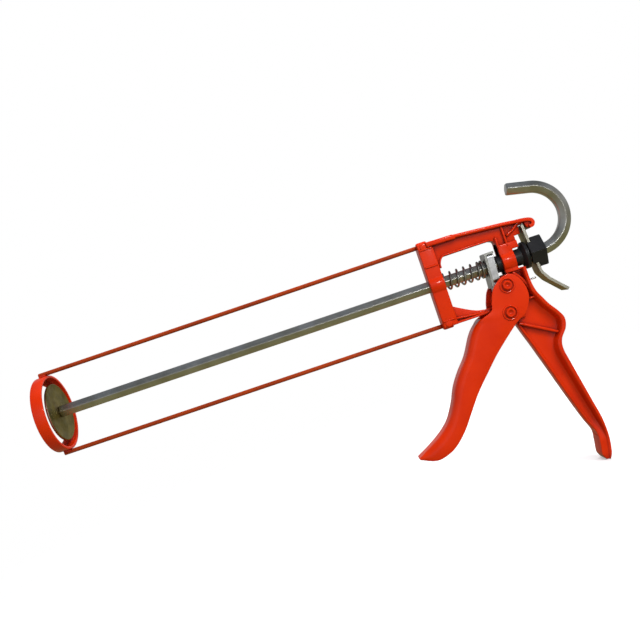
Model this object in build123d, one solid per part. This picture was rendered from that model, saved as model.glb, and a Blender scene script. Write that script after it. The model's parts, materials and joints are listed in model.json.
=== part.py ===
from build123d import *
import os
from math import radians, tan

# Caulking gun, skeleton frame for one large cartridge. Millimetres.
# +X runs along the push rod from the nozzle end to the hook, +Z is up as the gun is held.
# The origin is on the rod's axis, in the plane of the casting's front face, where the cartridge seats.
# The whole gun is symmetric about the plane Y = 0.

# Push rod and piston
ROD_ACROSS_FLATS = 8.0
ROD_CORNER = ROD_ACROSS_FLATS / 3**0.5
ROD_SHOULDER_X = -271.5
HOOK_START_X = 82.6
HOOK_RADIUS = 22.2
HOOK_TURN = 169.0
HOOK_END_LENGTH = 15.8
SPIGOT_RADIUS = 2.9
DISC_RADIUS = 20.5
DISC_THICKNESS = 2.0
WASHER_RADIUS = 6.5
WASHER_THICKNESS = 1.2
PEENED_HEAD_RADIUS = 4.2
PEENED_HEAD_HEIGHT = 1.4
PEENED_HEAD_CHAMFER = 0.8
DISC_ROUNDING = 0.5

# Cradle
RING_FRONT_X = -280.0
RING_REAR_X = -272.0
RING_RADIUS = 27.0
RING_WALL = 2.0
RING_LIP_RADIUS = 21.5
RING_LIP_THICKNESS = 1.8
WIRE_RADIUS = 1.5
WIRE_HEIGHT = RING_RADIUS + WIRE_RADIUS
WIRE_FRONT_X = -278.4
WIRE_SOCKET_DEPTH = 18.0
WELD_LENGTH = 5.0
WELD_WIDTH = 2.2
WELD_INSET = 1.0
WELD_OVERLAP = 0.6
WELD_CROWN = 0.3

# Casting: the front bar, the window round the drive, the rear bar and the handle
BAR_LENGTH = 10.5
BAR_HEIGHT = 30.0
BAR_HALF_WIDTH = 6.6
BAR_ROUNDING = 1.5
REAR_BAR_X = (52.0, 66.0)
REAR_BLOCK_Z = (-8.0, 12.0)
REAR_NOTCH_HALF_HEIGHT = 7.0
WEB_HALF_WIDTH = 4.2
RIM_HALF_WIDTH = 7.8
RIM_THICKNESS = 2.4
RIB_HALF_WIDTH = 6.4
RIB_THICKNESS = 1.8
GUIDE_BOSS_RADIUS = 9.0
FRONT_GUIDE_END = 5.5
REAR_GUIDE_START = 53.5
REAR_GUIDE_END = 61.5
ROD_BORE_RADIUS = 5.0
SPRING_POCKET_RADIUS = 7.1
SOCKET_RADIUS = 3.0
SOCKET_LENGTH = 8.0
SOCKET_TAIL_RADIUS = 2.25
SOCKET_TAIL_END = 25.0
LUG_CENTRE = (77.9, 20.2)
LUG_RADIUS = 3.7
SLOT_FRONT_X = 70.7
SLOT_REAR_X = 74.1
SLOT_Z = (10.0, 21.0)
THROUGH_HALF_WIDTH = 12.0
WINDOW_ROUNDING = 1.4
WINDOW_OUTLINE = (
    (10.5, 17), (52, 17), (52, -9.5), (54.6, -11.5), (54.6, -21), (49, -26.6),
    (36, -27.2), (30, -27), (25, -25.5), (10.5, -16.5),
)
BUSH_BORE_X = (50.0, 67.0)
PIN_BORE_END_X = 68.0

# Trigger and its two rivets
PIVOT = (45.5, -33.9)
DRIVE_PIN = (49.2, -15.5)
FLANGE_INNER = 8.3
SHEET = 1.5
FLANGE_OUTER = FLANGE_INNER + SHEET
WEB_OFFSET = (1.15, -1.0)
WEB_TOP_Z = -31.6
RAISED_RING_RADIUS = 4.9
RAISED_RING_HEIGHT = 0.5
RIVET_RADIUS = 2.5
RIVET_HEAD_RADIUS = 3.3
RIVET_HEAD_HEIGHT = 1.4
RIVET_DIMPLE_RADIUS = 1.7
RIVET_DIMPLE_DEPTH = 0.7
RIVET_ROUNDING = 0.6
PIVOT_BOSS_RADIUS = 6.8
PIVOT_CLEARANCE = 0.25
ROLLER_RADIUS = 3.9
ROLLER_HALF_WIDTH = 5.0
SPACER_WALL = 0.9

# Drive plates and spring
PLATE_HALF_WIDTH = 7.6
PLATE_TOP_Z = 8.35
PLATE_FOOT_Z = -11.0
PLATE_THICKNESS = 4.6
PLATE_LEAN = 3.0
PLATE_FRONT_X = 42.4
PLATE_ROUNDING = 2.0
PLATE_BORE_RADIUS = 5.4
PLATE_BORE_X = (30.0, 60.0)
TONGUE_ROOT = 2.0
TONGUE_HALF_WIDTH = 5.0
TONGUE_BACK_X = 44.85
TONGUE_FOOT_Z = -19.6
CLIP_THICKNESS = 1.5
CLIP_FOOT_Z = -14.4
CLIP_LIP_END_X = 48.1
SPRING_WIRE = 0.75
SPRING_RADIUS = 5.75
SPRING_TURNS = 9
SPRING_END_X = 40.3

# Guide bush, release lever and buffer
BUSH_START_X = 48.7
BUSH_RADIUS = 5.9
BUSH_CONE_START_X = 66.6
FLANGE_START_X = 68.6
FLANGE_END_X = 70.8
FLANGE_RADIUS = 9.5
RELEASE_SPRING_WIRE = 0.5
RELEASE_SPRING_RADIUS = 7.2
RELEASE_SPRING_TURNS = 2
RELEASE_SPRING_END_X = 72.1
SPRING_RECESS_START_X = 68.8
SPRING_RECESS_RADIUS = 8.1
LEVER_PIVOT = (72.4, 19.0)
LEVER_TOP_Z = 20.5
LEVER_LEAN = 4.5
LEVER_THICKNESS = 1.9
LEVER_BEND_Z = -14.0
LEVER_HALF_WIDTH = 7.4
LEVER_BEND_RADIUS = 8.0
LEVER_TAB = ((78.6, -20.0), (89.0, -31.0))
LEVER_HOLE_RADIUS = 5.4
LEVER_BORE_X = (60.0, 85.0)
BUFFER_ACROSS_FLATS = 21.2
BUFFER_START_X = 71.4
BUFFER_END_X = 82.2
BUFFER_CHAMFER = 0.6
BUFFER_GAP = 0.4
BUFFER_CHANNEL_HALF_WIDTH = 7.9
BUFFER_REACH = 14.0
STOP_PIN_RADIUS = 0.6
STOP_PIN_Z = -17.0
STOP_PIN_START_X = 58.0
STOP_PIN_END_X = 72.1


def along_x(radius, start, end, z=0.0):
    """A cylinder along X between two X positions, at height z."""
    length = end - start
    low = (Align.CENTER, Align.CENTER, Align.MIN)
    return Pos(start, 0, z) * Rot(0, 90, 0) * Cylinder(radius, length, align=low)


def across(centre, radius, half_width):
    """A cylinder along Y through a point (x, z), symmetric about Y = 0."""
    return Pos(centre[0], 0, centre[1]) * Rot(90, 0, 0) * Cylinder(radius, 2 * half_width)


def block(x_range, half_width, z_range):
    """A box between two X and two Z positions, symmetric about Y = 0."""
    size = (x_range[1] - x_range[0], 2 * half_width, z_range[1] - z_range[0])
    middle = ((x_range[0] + x_range[1]) / 2, 0, (z_range[0] + z_range[1]) / 2)
    return Pos(*middle) * Box(*size)


def slab(face, half_width):
    """A side-view face, drawn as (x, z), extruded to both sides of Y = 0."""
    return extrude(Plane.XZ * face, amount=half_width, both=True)


def outline(*curves):
    """One face from curves that follow each other end to end."""
    return make_face(Curve() + list(curves))


def polygon(*points):
    """One face from corner points."""
    return make_face(Polyline(*points, close=True))


def strip(curve, width):
    """The band of a given width that follows a side-view curve."""
    return trace(curve, line_width=width)


def hexagon_along_x(across_flats, start, end):
    """A hexagonal bar along X with flats above and below."""
    plane = Plane(origin=(start, 0, 0), x_dir=(0, 1, 0), z_dir=(1, 0, 0))
    profile = plane * RegularPolygon(across_flats / 3**0.5, 6)
    return extrude(profile, amount=end - start)


def coil(mean_radius, wire_radius, turns, start, end):
    """A round-wire compression spring about the X axis."""
    first = start + wire_radius
    height = end - start - 2 * wire_radius
    path = Pos(first, 0, 0) * Helix(height / turns, height, mean_radius, direction=(1, 0, 0))
    profile = Plane(origin=path @ 0, z_dir=path % 0) * Circle(wire_radius)
    return sweep(profile, path=path, is_frenet=True)


def lever_x(z):
    """The X of the release lever's middle plane at height z."""
    return LEVER_PIVOT[0] + (LEVER_PIVOT[1] - z) * tan(radians(LEVER_LEAN))


# ---- casting outline, as (x, z) ----

REAR_EDGE = Spline(
    (66, -17), (67.4, -25), (72.4, -35), (78.6, -45), (80.2, -51), (77, -57.5), (72.6, -64),
    (73, -73), (77, -93), (80.5, -112), (83, -127), (82.6, -139), (80.4, -149),
)
FRONT_EDGE = Spline((75, -147), (75.6, -138), (76.5, -130.8))
GRIP_EDGE = Spline((76.5, -130.8), (73, -124), (67, -104), (57, -71), (47.8, -41.5))
TOP_EDGE = Polyline((10, 29.6), (25, 29.2), (60, 26.2), (77.9, 23.9))


def casting_face():
    """The side view of the casting behind the front bar, without its window."""
    handle_end = ThreePointArc((80.4, -149), (77.4, -150.5), (75, -147))
    belly = Spline((47.8, -41.5), (40, -38), (35, -30))
    lower_bar = Polyline((35, -30), (0, -30), (0, 29.6), (10, 29.6))
    arm = Polyline((77.9, 23.9), (77.9, 20.2), (SLOT_FRONT_X, 20.2), (SLOT_FRONT_X, 15), (66, 15), (66, -17))
    return outline(REAR_EDGE, handle_end, FRONT_EDGE, GRIP_EDGE, belly, lower_bar, TOP_EDGE, arm)


def window_face():
    """The opening in the casting round the spring, the drive plates and the trigger's head."""
    opening = polygon(*WINDOW_OUTLINE)
    return fillet(opening.vertices(), WINDOW_ROUNDING)


def casting_ribs(face):
    """The proud rims along the edges, and the ribs across the webs."""
    rear = strip(REAR_EDGE, 2 * RIM_THICKNESS) & face
    top = strip(TOP_EDGE, 2 * RIM_THICKNESS) & face
    handle_rib = strip(Line((49, -42.5), (73, -56.8)), RIB_THICKNESS)
    guard_rib = strip(Spline((56.5, -8), (61.8, -15.6), (66, -28)), RIB_THICKNESS)
    short_rib = strip(Line((62, -28.6), (67.5, -28.6)), RIB_THICKNESS)
    arm_rib = strip(Spline((60, 16.4), (66, 19.3), (70.4, 21.8), (78, 22.2)), RIB_THICKNESS)
    post_rib = strip(Line((59, 9), (59, 26)), RIB_THICKNESS)
    lower_rib = strip(Line((9, -26), (30, -28.6)), RIB_THICKNESS)
    rims = slab(rear, RIM_HALF_WIDTH) + slab(top, RIM_HALF_WIDTH)
    for rib in (handle_rib, guard_rib, short_rib, arm_rib, post_rib, lower_rib):
        rims += slab(rib & face, RIB_HALF_WIDTH)
    return rims


def wire_sockets():
    """The bosses at the bar's ends that hold the cradle wires, with their tapering tails."""
    sockets = []
    for side in (1, -1):
        sockets.append(along_x(SOCKET_RADIUS, 0, SOCKET_LENGTH, side * WIRE_HEIGHT))
        tail_height = side * (BAR_HEIGHT - SOCKET_TAIL_RADIUS)
        sockets.append(along_x(SOCKET_TAIL_RADIUS, 0, SOCKET_TAIL_END, tail_height))
    return sockets


def casting_blank():
    """The casting with all its bosses, before anything is bored."""
    face = casting_face() - window_face()
    body = slab(face, WEB_HALF_WIDTH) + casting_ribs(face)
    bar = block((0, BAR_LENGTH), BAR_HALF_WIDTH, (-BAR_HEIGHT, BAR_HEIGHT))
    body += fillet(bar.edges().filter_by(Axis.Z).group_by(Axis.X)[-1], BAR_ROUNDING)
    body += wire_sockets()
    body += along_x(GUIDE_BOSS_RADIUS, 0, BAR_LENGTH)
    body += along_x(GUIDE_BOSS_RADIUS, REAR_GUIDE_START, REAR_GUIDE_END)
    body += block(REAR_BAR_X, RIB_HALF_WIDTH, REAR_BLOCK_Z)
    body += across(PIVOT, PIVOT_BOSS_RADIUS, RIM_HALF_WIDTH)
    return body + across(LUG_CENTRE, LUG_RADIUS, RIM_HALF_WIDTH)


def frame_casting():
    """The frame and rear handle, one die casting."""
    body = casting_blank()
    body -= block((SLOT_FRONT_X, SLOT_REAR_X), THROUGH_HALF_WIDTH, SLOT_Z)
    notch_z = (-REAR_NOTCH_HALF_HEIGHT, REAR_NOTCH_HALF_HEIGHT)
    body -= block((REAR_GUIDE_END, REAR_BAR_X[1]), THROUGH_HALF_WIDTH, notch_z)
    body -= along_x(ROD_BORE_RADIUS, 0, FRONT_GUIDE_END)
    body -= along_x(SPRING_POCKET_RADIUS, FRONT_GUIDE_END, BAR_LENGTH)
    body -= along_x(BUSH_RADIUS, *BUSH_BORE_X)
    body -= across(PIVOT, RIVET_RADIUS + PIVOT_CLEARANCE, THROUGH_HALF_WIDTH)
    body -= along_x(STOP_PIN_RADIUS, STOP_PIN_START_X, PIN_BORE_END_X, STOP_PIN_Z)
    for side in (1, -1):
        body -= along_x(WIRE_RADIUS, 0, WIRE_SOCKET_DEPTH, side * WIRE_HEIGHT)
    return body


# ---- cradle ----

def nose_ring():
    """A flat steel band with an inward front lip that stops the cartridge."""
    band = along_x(RING_RADIUS, RING_FRONT_X, RING_REAR_X)
    lip_end = RING_FRONT_X + RING_LIP_THICKNESS
    hollow = along_x(RING_RADIUS - RING_WALL, lip_end, RING_REAR_X)
    return band - hollow - along_x(RING_LIP_RADIUS, RING_FRONT_X, lip_end)


def cradle_wire(side):
    """One straight wire from the nose ring into its socket in the casting."""
    return along_x(WIRE_RADIUS, WIRE_FRONT_X, WIRE_SOCKET_DEPTH, side * WIRE_HEIGHT)


def ring_welds():
    """A weld bead in each corner between the wires and the ring."""
    start = RING_REAR_X - WELD_LENGTH - WELD_INSET
    beads = []
    for side in (1, -1):
        low, high = sorted((side * (RING_RADIUS - WELD_OVERLAP), side * (WIRE_HEIGHT - WELD_CROWN)))
        bead = block((start, start + WELD_LENGTH), WELD_WIDTH, (low, high))
        bead -= along_x(RING_RADIUS, RING_FRONT_X, RING_REAR_X)
        bead -= cradle_wire(side)
        beads += bead.solids()
    return Compound(children=beads)


# ---- push rod ----

def push_rod():
    """Hexagonal rod with a hook bent at its rear end and a spigot peened over the piston."""
    straight = Line((ROD_SHOULDER_X, 0), (HOOK_START_X, 0))
    bend = JernArc(straight @ 1, straight % 1, HOOK_RADIUS, HOOK_TURN)
    end = Line(bend @ 1, bend @ 1 + (bend % 1) * HOOK_END_LENGTH)
    path = Plane.XZ * (straight + bend + end)
    plane = Plane(origin=(ROD_SHOULDER_X, 0, 0), x_dir=(0, 1, 0), z_dir=(1, 0, 0))
    rod = sweep(plane * RegularPolygon(ROD_CORNER, 6), path=path)
    head_rear = ROD_SHOULDER_X - DISC_THICKNESS - WASHER_THICKNESS
    rod += along_x(SPIGOT_RADIUS, head_rear, ROD_SHOULDER_X)
    head = along_x(PEENED_HEAD_RADIUS, head_rear - PEENED_HEAD_HEIGHT, head_rear)
    return rod + chamfer(head.faces().sort_by(Axis.X)[0].edges(), PEENED_HEAD_CHAMFER)


def piston_disc():
    """Pressed disc that pushes the cartridge's base."""
    front = ROD_SHOULDER_X - DISC_THICKNESS
    disc = along_x(DISC_RADIUS, front, ROD_SHOULDER_X)
    disc = fillet(disc.edges().filter_by(GeomType.CIRCLE), DISC_ROUNDING)
    return disc - along_x(SPIGOT_RADIUS, front, ROD_SHOULDER_X)


def piston_washer():
    """Washer under the peened end of the rod."""
    rear = ROD_SHOULDER_X - DISC_THICKNESS
    washer = along_x(WASHER_RADIUS, rear - WASHER_THICKNESS, rear)
    return washer - along_x(SPIGOT_RADIUS, rear - WASHER_THICKNESS, rear)


def rod_buffer():
    """Hexagonal buffer at the hook; its cheeks reach past the release lever on both sides."""
    buffer = hexagon_along_x(BUFFER_ACROSS_FLATS, BUFFER_START_X, BUFFER_END_X)
    buffer = chamfer(buffer.faces().sort_by(Axis.X)[-1].edges(), BUFFER_CHAMFER)
    front = BUFFER_START_X - BUFFER_REACH
    face_offset = LEVER_THICKNESS / 2 + BUFFER_GAP
    channel = polygon(
        (front, BUFFER_REACH), (lever_x(BUFFER_REACH) + face_offset, BUFFER_REACH),
        (lever_x(-BUFFER_REACH) + face_offset, -BUFFER_REACH), (front, -BUFFER_REACH),
    )
    buffer -= slab(channel, BUFFER_CHANNEL_HALF_WIDTH)
    return buffer - hexagon_along_x(ROD_ACROSS_FLATS, BUFFER_START_X, BUFFER_END_X)


# ---- drive ----

def clip_x(z):
    """The X of the clip plate's rear face at height z, which is the drive plate's front face."""
    return PLATE_FRONT_X + z * tan(radians(PLATE_LEAN))


def drive_plate():
    """Thick plate that grips the rod, with a tongue that the trigger's roller pushes."""
    top, foot = PLATE_TOP_Z, PLATE_FOOT_Z
    plate = slab(polygon(
        (clip_x(top), top), (clip_x(top) + PLATE_THICKNESS, top),
        (clip_x(foot) + PLATE_THICKNESS, foot), (clip_x(foot), foot),
    ), PLATE_HALF_WIDTH)
    plate = fillet(plate.edges().filter_by(Axis.X, tolerance=5), PLATE_ROUNDING)
    tongue = slab(polygon(
        (clip_x(foot), foot + TONGUE_ROOT), (TONGUE_BACK_X, foot + TONGUE_ROOT),
        (TONGUE_BACK_X, TONGUE_FOOT_Z), (clip_x(TONGUE_FOOT_Z), TONGUE_FOOT_Z),
    ), TONGUE_HALF_WIDTH)
    return plate + tongue - along_x(PLATE_BORE_RADIUS, *PLATE_BORE_X)


def spring_clip():
    """Thin plate between the spring and the drive plate, with a lip over the drive plate's top."""
    half = CLIP_THICKNESS / 2
    centre_z = PLATE_TOP_Z + half
    bend = (clip_x(centre_z) - half, centre_z)
    foot = (clip_x(CLIP_FOOT_Z) - half, CLIP_FOOT_Z)
    face = strip(Line(foot, bend), CLIP_THICKNESS) + strip(Line(bend, (CLIP_LIP_END_X, centre_z)), CLIP_THICKNESS)
    face += Pos(*bend) * Circle(half)
    clip = slab(face, PLATE_HALF_WIDTH) - along_x(PLATE_BORE_RADIUS, *PLATE_BORE_X)
    return clip - drive_plate()


def drive_spring():
    """Return spring of the drive, between the front bar's pocket and the clip."""
    return coil(SPRING_RADIUS, SPRING_WIRE, SPRING_TURNS, FRONT_GUIDE_END, SPRING_END_X)


# ---- trigger ----

def trigger_face():
    """The side view of the trigger: round head, neck and curved finger grip."""
    head = Spline((33.5, -28.6), (37, -18.4), (44.6, -10), (52.2, -8), (58.2, -12.6), (61.4, -21.5), (60.6, -28.6))
    heel = Spline((60.6, -28.6), (55.5, -37), (47, -42))
    grip_rear = Spline((47, -42), (30, -56), (10, -76), (-5, -95), (-20, -110), (-33, -114.5), (-45, -110))
    grip_front = Spline((-45, -110), (-30, -102), (-17, -91), (-6, -71), (8, -53), (16, -40), (24, -32.6), (33.5, -28.6))
    return outline(head, heel, grip_rear, grip_front)


def trigger():
    """Pressed U-section trigger, open to the rear, with raised rings round its rivet holes."""
    face = trigger_face()
    open_head = polygon((26, WEB_TOP_Z), (26, 0), (70, 0), (70, -50), (44, -50), (34, WEB_TOP_Z))
    hollow = slab(Pos(*WEB_OFFSET) * face, FLANGE_INNER) + slab(open_head, FLANGE_INNER)
    body = slab(face, FLANGE_OUTER) - hollow
    for centre in (PIVOT, DRIVE_PIN):
        body += across(centre, RAISED_RING_RADIUS, FLANGE_OUTER + RAISED_RING_HEIGHT)
        body -= across(centre, RAISED_RING_RADIUS, FLANGE_INNER)
        body -= across(centre, RIVET_RADIUS, FLANGE_OUTER + RAISED_RING_HEIGHT)
    return body


def flange_rivet(centre):
    """Rivet across the trigger's flanges, with a dimpled head on each side."""
    seat = FLANGE_OUTER + RAISED_RING_HEIGHT
    tip = seat + RIVET_HEAD_HEIGHT
    head = across(centre, RIVET_HEAD_RADIUS, tip)
    head = fillet(head.edges().filter_by(GeomType.CIRCLE), RIVET_ROUNDING)
    head -= across(centre, RIVET_HEAD_RADIUS + 1, seat)
    head -= across(centre, RIVET_DIMPLE_RADIUS, tip) - across(centre, RIVET_DIMPLE_RADIUS, tip - RIVET_DIMPLE_DEPTH)
    return head + across(centre, RIVET_RADIUS, seat)


def drive_roller():
    """Roller on the upper rivet that pushes the drive plate's tongue."""
    roller = across(DRIVE_PIN, ROLLER_RADIUS, ROLLER_HALF_WIDTH)
    return roller - across(DRIVE_PIN, RIVET_RADIUS, ROLLER_HALF_WIDTH)


def roller_spacers():
    """Two tubes on the upper rivet that keep the roller in the middle."""
    tube = across(DRIVE_PIN, RIVET_RADIUS + SPACER_WALL, FLANGE_INNER)
    tube -= across(DRIVE_PIN, ROLLER_RADIUS, ROLLER_HALF_WIDTH)
    tube -= across(DRIVE_PIN, RIVET_RADIUS, FLANGE_INNER)
    return Compound(children=tube.solids())


# ---- release ----

def guide_bush():
    """Plastic bush through the rear bar, with a coned flange that seats the release spring."""
    cone_points = (
        (BUSH_START_X, ROD_BORE_RADIUS), (BUSH_START_X, BUSH_RADIUS), (BUSH_CONE_START_X, BUSH_RADIUS),
        (FLANGE_START_X, FLANGE_RADIUS), (FLANGE_END_X, FLANGE_RADIUS),
        (FLANGE_END_X, SPRING_RECESS_RADIUS), (SPRING_RECESS_START_X, SPRING_RECESS_RADIUS),
        (SPRING_RECESS_START_X, ROD_BORE_RADIUS),
    )
    return revolve(Plane.XZ * polygon(*cone_points), axis=Axis.X)


def release_spring():
    """Short spring that holds the release lever back against the rod."""
    return coil(
        RELEASE_SPRING_RADIUS, RELEASE_SPRING_WIRE, RELEASE_SPRING_TURNS,
        SPRING_RECESS_START_X, RELEASE_SPRING_END_X,
    )


def release_lever():
    """Catch plate hung in the arm's slot, bent rearwards into a thumb tab below the rod."""
    top = (lever_x(LEVER_TOP_Z), LEVER_TOP_Z)
    knee = (lever_x(LEVER_BEND_Z), LEVER_BEND_Z)
    path = Polyline(top, knee, *LEVER_TAB)
    path = fillet(path.vertices().sort_by(Axis.Y)[1:3], LEVER_BEND_RADIUS)
    lever = slab(strip(path, LEVER_THICKNESS), LEVER_HALF_WIDTH)
    return lever - along_x(LEVER_HOLE_RADIUS, *LEVER_BORE_X)


def stop_pin():
    """Pin in the rear bar that stops the release lever when it is pressed."""
    return along_x(STOP_PIN_RADIUS, STOP_PIN_START_X, STOP_PIN_END_X, STOP_PIN_Z)


PARTS = {
    "frame_casting": frame_casting,
    "nose_ring": nose_ring,
    "cradle_wire_top": lambda: cradle_wire(1),
    "cradle_wire_bottom": lambda: cradle_wire(-1),
    "ring_welds": ring_welds,
    "push_rod": push_rod,
    "piston_disc": piston_disc,
    "piston_washer": piston_washer,
    "rod_buffer": rod_buffer,
    "drive_plate": drive_plate,
    "spring_clip": spring_clip,
    "drive_spring": drive_spring,
    "trigger": trigger,
    "pivot_rivet": lambda: flange_rivet(PIVOT),
    "drive_rivet": lambda: flange_rivet(DRIVE_PIN),
    "drive_roller": drive_roller,
    "roller_spacers": roller_spacers,
    "guide_bush": guide_bush,
    "release_spring": release_spring,
    "release_lever": release_lever,
    "stop_pin": stop_pin,
}

os.makedirs("parts", exist_ok=True)
for name, make in PARTS.items():
    export_step(make(), f"parts/{name}.step")
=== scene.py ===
"""Looks of the caulking gun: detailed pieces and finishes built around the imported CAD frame."""

import json
import logging
import math
from collections.abc import Sequence
from dataclasses import dataclass
from enum import Enum

import bmesh
import bpy
from mathutils import Matrix, Vector


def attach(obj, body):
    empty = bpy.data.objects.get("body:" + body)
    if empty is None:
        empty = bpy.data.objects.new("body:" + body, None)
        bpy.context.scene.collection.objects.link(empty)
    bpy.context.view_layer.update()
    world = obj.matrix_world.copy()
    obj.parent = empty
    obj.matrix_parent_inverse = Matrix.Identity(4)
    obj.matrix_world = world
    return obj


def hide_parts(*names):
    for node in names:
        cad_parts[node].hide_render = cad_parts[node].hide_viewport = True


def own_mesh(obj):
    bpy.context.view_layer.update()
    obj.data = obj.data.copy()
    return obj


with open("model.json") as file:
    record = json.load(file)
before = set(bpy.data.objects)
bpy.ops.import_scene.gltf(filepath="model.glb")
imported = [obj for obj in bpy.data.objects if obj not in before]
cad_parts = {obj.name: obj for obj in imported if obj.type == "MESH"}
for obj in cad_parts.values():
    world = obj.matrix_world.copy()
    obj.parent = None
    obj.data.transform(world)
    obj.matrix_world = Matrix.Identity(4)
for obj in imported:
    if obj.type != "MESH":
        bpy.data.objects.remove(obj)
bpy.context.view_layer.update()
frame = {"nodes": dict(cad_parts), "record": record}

LOG = logging.getLogger("caulking_gun")
MM = 0.001
ALONG_X = Vector((1, 0, 0))
ALONG_Y = Vector((0, 1, 0))
SAME_PLACE = 1e-7
SHADING_ANGLE = math.radians(35)
RIM_ANGLE = math.radians(60)

Mesh = bmesh.types.BMesh
Socket = bpy.types.NodeSocket
Material = bpy.types.Material
Point = tuple[float, float]
Outline = Sequence[Point]
Triple = tuple[float, float, float]
Rung = tuple[float, float, float, float]


class Body(Enum):
    """The moving bodies of the gun."""

    FRAME = "frame"
    ROD = "rod"
    TRIGGER = "trigger"
    DRIVE = "drive"
    RELEASE = "release"


class Slot(Enum):
    """The record's material slots."""

    GLOSS_PAINT = "red_gloss_paint"
    WIRE_PAINT = "red_wire_paint"
    ZINC_STEEL = "zinc_steel"
    OLIVE_ZINC = "olive_zinc"
    BRIGHT_ZINC = "bright_zinc"
    SPRING_STEEL = "spring_steel"
    BLACK_PLASTIC = "black_plastic"


Finishes = dict[Slot, Material]


# ---- small geometry helpers, which take millimetres where nothing else is said ----

def across(x: float, z: float, y: float = 0.0) -> Vector:
    """A point of the side view, at a distance y from the middle plane, in metres."""
    return Vector((x * MM, y * MM, z * MM))


def past_end(end: Point, inner: Point) -> Vector:
    """The point as far past an end as the next point lies before it."""
    return Vector((2 * end[0] - inner[0], 2 * end[1] - inner[1]))


def smooth_line(points: Outline, steps: int = 6) -> list[Point]:
    """Rounds a few outline points into a smooth curve that passes through them.

    Args:
        points: the outline's own points, as (x, z).
        steps: how many pieces each span is divided into.

    Returns:
        The points of the smooth curve, both ends included.
    """
    held = [past_end(points[0], points[1]), *map(Vector, points), past_end(points[-1], points[-2])]
    curve: list[Point] = []
    for before, start, end, after in zip(held, held[1:], held[2:], held[3:]):
        for step in range(steps):
            t = step / steps
            point = 0.5 * (2 * start + (end - before) * t + (2 * before - 5 * start + 4 * end - after) * t**2
                           + (3 * start - before - 3 * end + after) * t**3)
            curve.append(tuple(point))
    curve.append(tuple(points[-1]))
    return curve


def smooth_rungs(rungs: Sequence[Rung], steps: int) -> list[tuple[Vector, Vector]]:
    """Rounds a ladder of a few rungs into many rungs.

    Args:
        rungs: each rung as (front x, front z, rear x, rear z).
        steps: how many rungs each gap is divided into.

    Returns:
        The front and rear ends of each rung, as (x, z).
    """
    front = smooth_line([rung[:2] for rung in rungs], steps)
    rear = smooth_line([rung[2:] for rung in rungs], steps)
    return [(Vector(near), Vector(far)) for near, far in zip(front, rear)]


def rectangle(start: float, end: float, bottom: float, top: float) -> Outline:
    """A rectangle's outline, between two positions along X and two heights."""
    return (start, bottom), (end, bottom), (end, top), (start, top)


def band(curve: Outline, width: float, side: float = 0.0) -> list[Point]:
    """The outline of a strip that follows a side-view curve.

    Args:
        curve: the curve's points as (x, z).
        width: the strip's width.
        side: where the curve lies across the strip, 0 in its middle, 1 along its left edge, -1 its right.

    Returns:
        The strip's closed outline.
    """
    points = [Vector(point) for point in curve]
    left: list[Point] = []
    right: list[Point] = []
    for before, point, after in zip([points[0], *points], points, [*points[1:], points[-1]]):
        along = (after - before).normalized()
        normal = Vector((-along.y, along.x))
        left.append(tuple(point + normal * width * (1 - side) / 2))
        right.append(tuple(point - normal * width * (1 + side) / 2))
    return left + right[::-1]


def round_off(mesh: Mesh, edges: list[bmesh.types.BMEdge], width: float) -> None:
    """Gives some edges a round profile of a width."""
    bmesh.ops.bevel(mesh, geom=edges, offset=width * MM, offset_type="OFFSET", affect="EDGES",
                    segments=3, profile=0.5, material=-1, clamp_overlap=True)


def soften_edges(mesh: Mesh, width: float, angle: float = 32.0) -> None:
    """Rounds every edge that turns by more than an angle.

    Args:
        mesh: the mesh to round.
        width: the rounding's width.
        angle: the turn, in degrees, from which an edge is rounded.
    """
    limit = math.radians(angle)
    sharp = [edge for edge in mesh.edges if len(edge.link_faces) == 2 and edge.calc_face_angle(0) > limit]
    round_off(mesh, sharp, width)


def join(target: Mesh, part: Mesh) -> None:
    """Adds one mesh to another and frees it.

    Args:
        target: the mesh that grows.
        part: the mesh that is added.
    """
    data = bpy.data.meshes.new("part")
    part.to_mesh(data)
    part.free()
    target.from_mesh(data)
    bpy.data.meshes.remove(data)


def slab(outline: Outline, half_width: float, rounding: float) -> Mesh:
    """A plate cut to a side-view outline, symmetric about the middle plane, with rounded edges.

    Args:
        outline: the outline's points as (x, z).
        half_width: half of the plate's thickness.
        rounding: the width of its edges' rounding.

    Returns:
        A closed mesh.
    """
    mesh = bmesh.new()
    verts = [mesh.verts.new(across(x, z, -half_width)) for x, z in outline]
    loop = [mesh.edges.new(pair) for pair in zip(verts, verts[1:] + verts[:1])]
    bmesh.ops.contextual_create(mesh, geom=loop)
    grown = bmesh.ops.extrude_face_region(mesh, geom=mesh.faces[:], use_keep_orig=True)
    moved = [item for item in grown["geom"] if isinstance(item, bmesh.types.BMVert)]
    bmesh.ops.translate(mesh, verts=moved, vec=across(0, 0, 2 * half_width))
    bmesh.ops.recalc_face_normals(mesh, faces=mesh.faces)
    rims = [edge for edge in mesh.edges if edge.calc_face_angle(0) > RIM_ANGLE]
    flat = [edge for edge in rims if abs(edge.verts[0].co.y - edge.verts[1].co.y) < SAME_PLACE]
    round_off(mesh, flat, rounding)
    return mesh


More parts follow.
